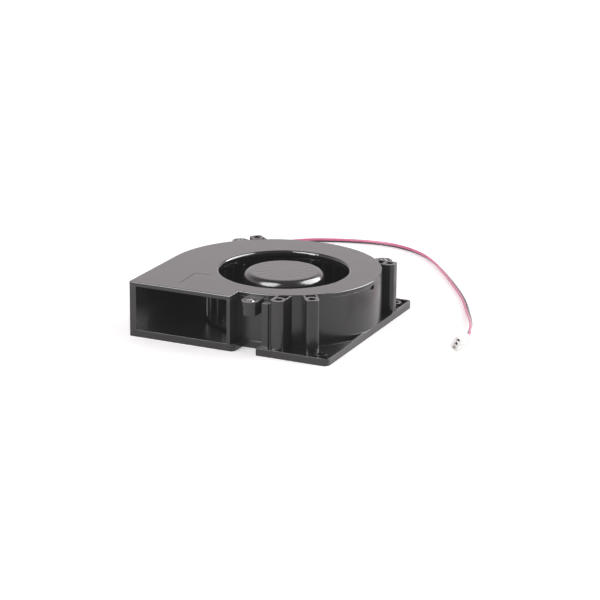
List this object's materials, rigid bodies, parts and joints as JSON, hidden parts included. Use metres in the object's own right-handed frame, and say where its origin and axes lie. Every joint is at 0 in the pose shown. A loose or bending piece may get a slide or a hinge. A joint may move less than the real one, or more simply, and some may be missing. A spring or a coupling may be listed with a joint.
{
  "type": "centrifugal blower fan",
  "caption": "Square-based centrifugal blower: scroll casing with side outlet, round intake, forward-curved impeller on a hub motor, and a two-wire lead with plug.",
  "frame": {"origin": "on the impeller axis at the underside of the base", "axes": "+Z along the impeller axis towards the intake; the outlet opens towards -Y at the -X side; +X towards the side with no outlet"},
  "size_m": [0.186, 0.233, 0.032],
  "materials": {
    "casing_plastic": "fine satin moulded black",
    "cover_plastic": "fine satin moulded black",
    "impeller_plastic": "glossy moulded black",
    "label": "blank satin film",
    "zinc_screw": "bright zinc plated",
    "yoke_steel": "drawn and plated",
    "magnet": "dark bonded ferrite",
    "brass": "turned",
    "bright_steel": "ground",
    "bearing_steel": "polished",
    "core_steel": "stamped laminations",
    "copper_winding": "enamelled copper wire",
    "bobbin_plastic": "natural nylon",
    "board": "solder-masked laminate",
    "capacitor_can": "sleeved can",
    "chip_black": "moulded package",
    "red_insulation": "soft extruded",
    "black_insulation": "soft extruded",
    "plug_plastic": "natural nylon",
    "tinned_contact": "tinned stamping"
  },
  "bodies": {
    "frame": {"lower_casing": "casing_plastic", "top_cover": "cover_plastic", "rear_label": "label", "cover_screw_front": "zinc_screw", "cover_screw_rear_right": "zinc_screw", "cover_screw_rear_left": "zinc_screw", "bearing_tube": "brass", "lower_outer_race": "bearing_steel", "lower_bearing_shields": "bearing_steel", "upper_outer_race": "bearing_steel", "upper_bearing_shields": "bearing_steel", "stator_core": "core_steel", "stator_coils": "copper_winding", "lower_insulator": "bobbin_plastic", "upper_insulator": "bobbin_plastic", "circuit_board": "board", "board_capacitor": "capacitor_can", "board_resistors": "chip_black", "hall_sensor": "chip_black", "driver_chip": "chip_black", "red_wire": "red_insulation", "black_wire": "black_insulation", "plug_housing": "plug_plastic", "red_contact": "tinned_contact", "black_contact": "tinned_contact"},
    "rotor": {"impeller": "impeller_plastic", "rotor_yoke": "yoke_steel", "rotor_magnet": "magnet", "shaft_bushing": "brass", "shaft": "bright_steel", "retaining_clip": "bright_steel", "preload_spring": "bright_steel", "lower_inner_race": "bearing_steel", "upper_inner_race": "bearing_steel"},
    "lower_ball_set": {"lower_bearing_balls": "bearing_steel", "lower_ball_cage": "bearing_steel"},
    "upper_ball_set": {"upper_bearing_balls": "bearing_steel", "upper_ball_cage": "bearing_steel"}
  },
  "joints": [
    {"name": "impeller_spin", "type": "hinge", "parent": "frame", "child": "rotor", "pos_m": [0, 0, 0], "axis": [0, 0, 1], "continuous": true},
    {"name": "lower_balls_orbit", "type": "hinge", "parent": "frame", "child": "lower_ball_set", "pos_m": [0, 0, 0.0057], "axis": [0, 0, 1], "continuous": true},
    {"name": "upper_balls_orbit", "type": "hinge", "parent": "frame", "child": "upper_ball_set", "pos_m": [0, 0, 0.0226], "axis": [0, 0, 1], "continuous": true}
  ],
  "couplings": [
    {"joint": "lower_balls_orbit", "follows": "impeller_spin", "ratio": 0.3846},
    {"joint": "upper_balls_orbit", "follows": "impeller_spin", "ratio": 0.3846}
  ]
}
